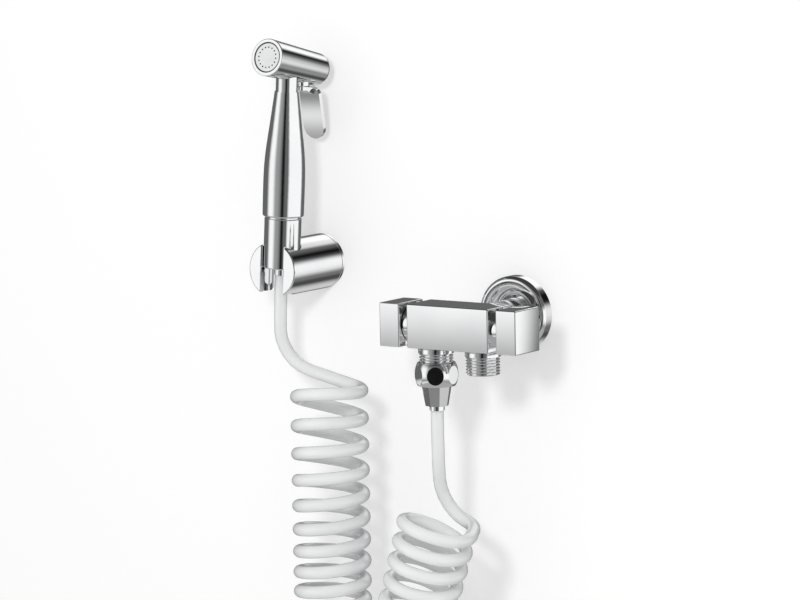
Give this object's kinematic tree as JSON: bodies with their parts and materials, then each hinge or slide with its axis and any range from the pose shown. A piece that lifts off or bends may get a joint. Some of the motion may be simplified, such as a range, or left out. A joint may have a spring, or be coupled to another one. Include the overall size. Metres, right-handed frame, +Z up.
{
  "type": "bidet shower",
  "caption": "Chrome bidet shower: trigger hand spray in a round wall holder, white spiral hose and a square angle valve with two knobs.",
  "frame": {"origin": "axis of the valve's inlet where it meets the wall", "axes": "+X to the right along the wall, +Y into the wall along the inlet, +Z up"},
  "size_m": [0.2155, 0.1416, 0.4146],
  "materials": {
    "chrome": "polished",
    "steel": "satin",
    "brass": "machined",
    "rubber": "matte",
    "white_hose": "glossy",
    "ceramic": "lapped ceramic",
    "plastic": "moulded"
  },
  "bodies": {
    "wall_set": {"cartridge_body_left": "chrome", "cartridge_body_right": "chrome", "escutcheon": "chrome", "fixed_disc_left": "ceramic", "fixed_disc_right": "ceramic", "holder_base": "chrome", "holder_body": "chrome", "holder_grub_screw": "steel", "hose_coil": "white_hose", "hose_cone": "chrome", "hose_ferrule_valve": "chrome", "hose_nut": "chrome", "hose_nut_washer": "rubber", "hose_tail_valve": "brass", "hose_valve_end": "white_hose", "inlet_nipple": "chrome", "outlet_nipple_left": "chrome", "outlet_nipple_right": "chrome", "port_seal_left": "rubber", "port_seal_right": "rubber", "valve_body": "chrome", "wall_plugs": "plastic", "wall_screws": "steel"},
    "hand_spray": {"sleeve_nut": "chrome", "sleeve_washer": "rubber", "hose_tail_spray": "brass", "hose_ferrule_spray": "chrome", "inlet_stub": "chrome", "grip_shell": "chrome", "water_tube": "plastic", "neck_ring": "chrome", "head_shell": "chrome", "spray_plate": "steel", "plate_gasket": "rubber", "valve_seat": "brass", "rocker_pin": "steel", "rocker_seal": "rubber", "hose_spray_end": "white_hose", "poppet_spring": "steel"},
    "lever": {"lever_paddle": "chrome", "lever_screw": "steel", "rocker": "steel"},
    "poppet": {"poppet": "brass", "poppet_seal": "rubber"},
    "knob_left": {"knob_left": "chrome", "knob_screw_left": "steel", "stem_left": "brass", "stem_o_ring_left": "rubber", "moving_disc_left": "ceramic"},
    "knob_right": {"knob_right": "chrome", "knob_screw_right": "steel", "stem_right": "brass", "stem_o_ring_right": "rubber", "moving_disc_right": "ceramic"}
  },
  "joints": [
    {"name": "spray_lift", "type": "slide", "parent": "wall_set", "child": "hand_spray", "axis": [0.061, 0, 0.9981], "range_m": [0, 0.025], "deforming": ["hose_spray_end"]},
    {"name": "lever_press", "type": "hinge", "parent": "hand_spray", "child": "lever", "pos_m": [-0.14141, -0.0285, 0.14149], "axis": [-0.9981, 0, 0.061], "range_deg": [0, 8], "stiffness_Nm_per_rad": 0.5, "springref_deg": -5.73},
    {"name": "poppet_rise", "type": "slide", "parent": "hand_spray", "child": "poppet", "axis": [0.061, 0, 0.9981], "range_m": [0, 0.0021], "deforming": ["poppet_spring"]},
    {"name": "knob_left_turn", "type": "hinge", "parent": "wall_set", "child": "knob_left", "pos_m": [-0.035, -0.068, 0], "axis": [-1, 0, 0], "range_deg": [0, 90]},
    {"name": "knob_right_turn", "type": "hinge", "parent": "wall_set", "child": "knob_right", "pos_m": [0.035, -0.068, 0], "axis": [1, 0, 0], "range_deg": [0, 90]}
  ],
  "couplings": [
    {"joint": "poppet_rise", "follows": "lever_press", "m_per_rad": 0.0148}
  ]
}
